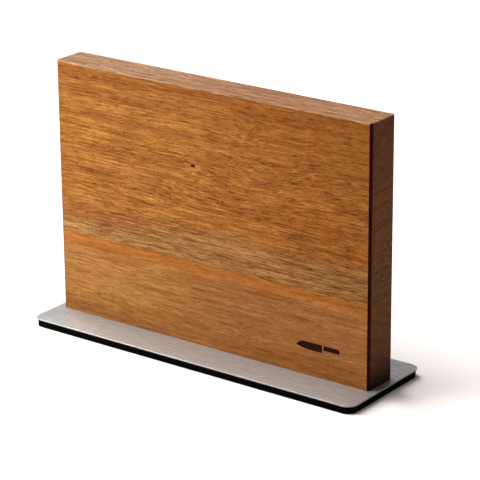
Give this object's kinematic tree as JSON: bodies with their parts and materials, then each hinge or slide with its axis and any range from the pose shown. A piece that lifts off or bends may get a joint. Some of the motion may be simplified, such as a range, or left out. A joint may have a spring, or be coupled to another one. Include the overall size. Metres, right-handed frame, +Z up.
{
  "type": "magnetic knife block",
  "caption": "Upright wooden panel on a flat steel base with a rubber pad; magnets hidden behind both faces hold knives by their blades.",
  "frame": {"origin": "centre of the base pad's underside, on the surface that the block stands on", "axes": "+X along the panel, +Y from the front face towards the rear face, +Z up"},
  "size_m": [0.354, 0.11, 0.246],
  "materials": {
    "acacia": "oiled, satin",
    "beech_dowel": "plain, fluted",
    "satin_stainless": "fine satin, brushed along the plate",
    "black_rubber": "matt",
    "ferrite": "dull dark grey",
    "mild_steel": "bright mill finish",
    "stainless_fixing": "plain stainless",
    "brass_insert": "plain brass"
  },
  "bodies": {
    "root": {"base_pad": "black_rubber", "base_plate": "satin_stainless", "dowel_lower_left": "beech_dowel", "dowel_lower_right": "beech_dowel", "dowel_upper_left": "beech_dowel", "dowel_upper_right": "beech_dowel", "front_lower_magnet_1": "ferrite", "front_lower_magnet_2": "ferrite", "front_lower_magnet_3": "ferrite", "front_lower_magnet_4": "ferrite", "front_lower_magnet_5": "ferrite", "front_lower_magnet_6": "ferrite", "front_lower_yoke": "mild_steel", "front_stave_lower": "acacia", "front_stave_middle": "acacia", "front_stave_upper": "acacia", "front_upper_magnet_1": "ferrite", "front_upper_magnet_2": "ferrite", "front_upper_magnet_3": "ferrite", "front_upper_magnet_4": "ferrite", "front_upper_magnet_5": "ferrite", "front_upper_magnet_6": "ferrite", "front_upper_yoke": "mild_steel", "insert_front_left": "brass_insert", "insert_front_right": "brass_insert", "insert_rear_left": "brass_insert", "insert_rear_right": "brass_insert", "rear_lower_magnet_1": "ferrite", "rear_lower_magnet_2": "ferrite", "rear_lower_magnet_3": "ferrite", "rear_lower_magnet_4": "ferrite", "rear_lower_magnet_5": "ferrite", "rear_lower_magnet_6": "ferrite", "rear_lower_yoke": "mild_steel", "rear_stave_lower": "acacia", "rear_stave_middle": "acacia", "rear_stave_upper": "acacia", "rear_upper_magnet_1": "ferrite", "rear_upper_magnet_2": "ferrite", "rear_upper_magnet_3": "ferrite", "rear_upper_magnet_4": "ferrite", "rear_upper_magnet_5": "ferrite", "rear_upper_magnet_6": "ferrite", "rear_upper_yoke": "mild_steel", "screw_front_left": "stainless_fixing", "screw_front_right": "stainless_fixing", "screw_rear_left": "stainless_fixing", "screw_rear_right": "stainless_fixing", "washer_front_left": "stainless_fixing", "washer_front_right": "stainless_fixing", "washer_rear_left": "stainless_fixing", "washer_rear_right": "stainless_fixing"}
  },
  "joints": []
}
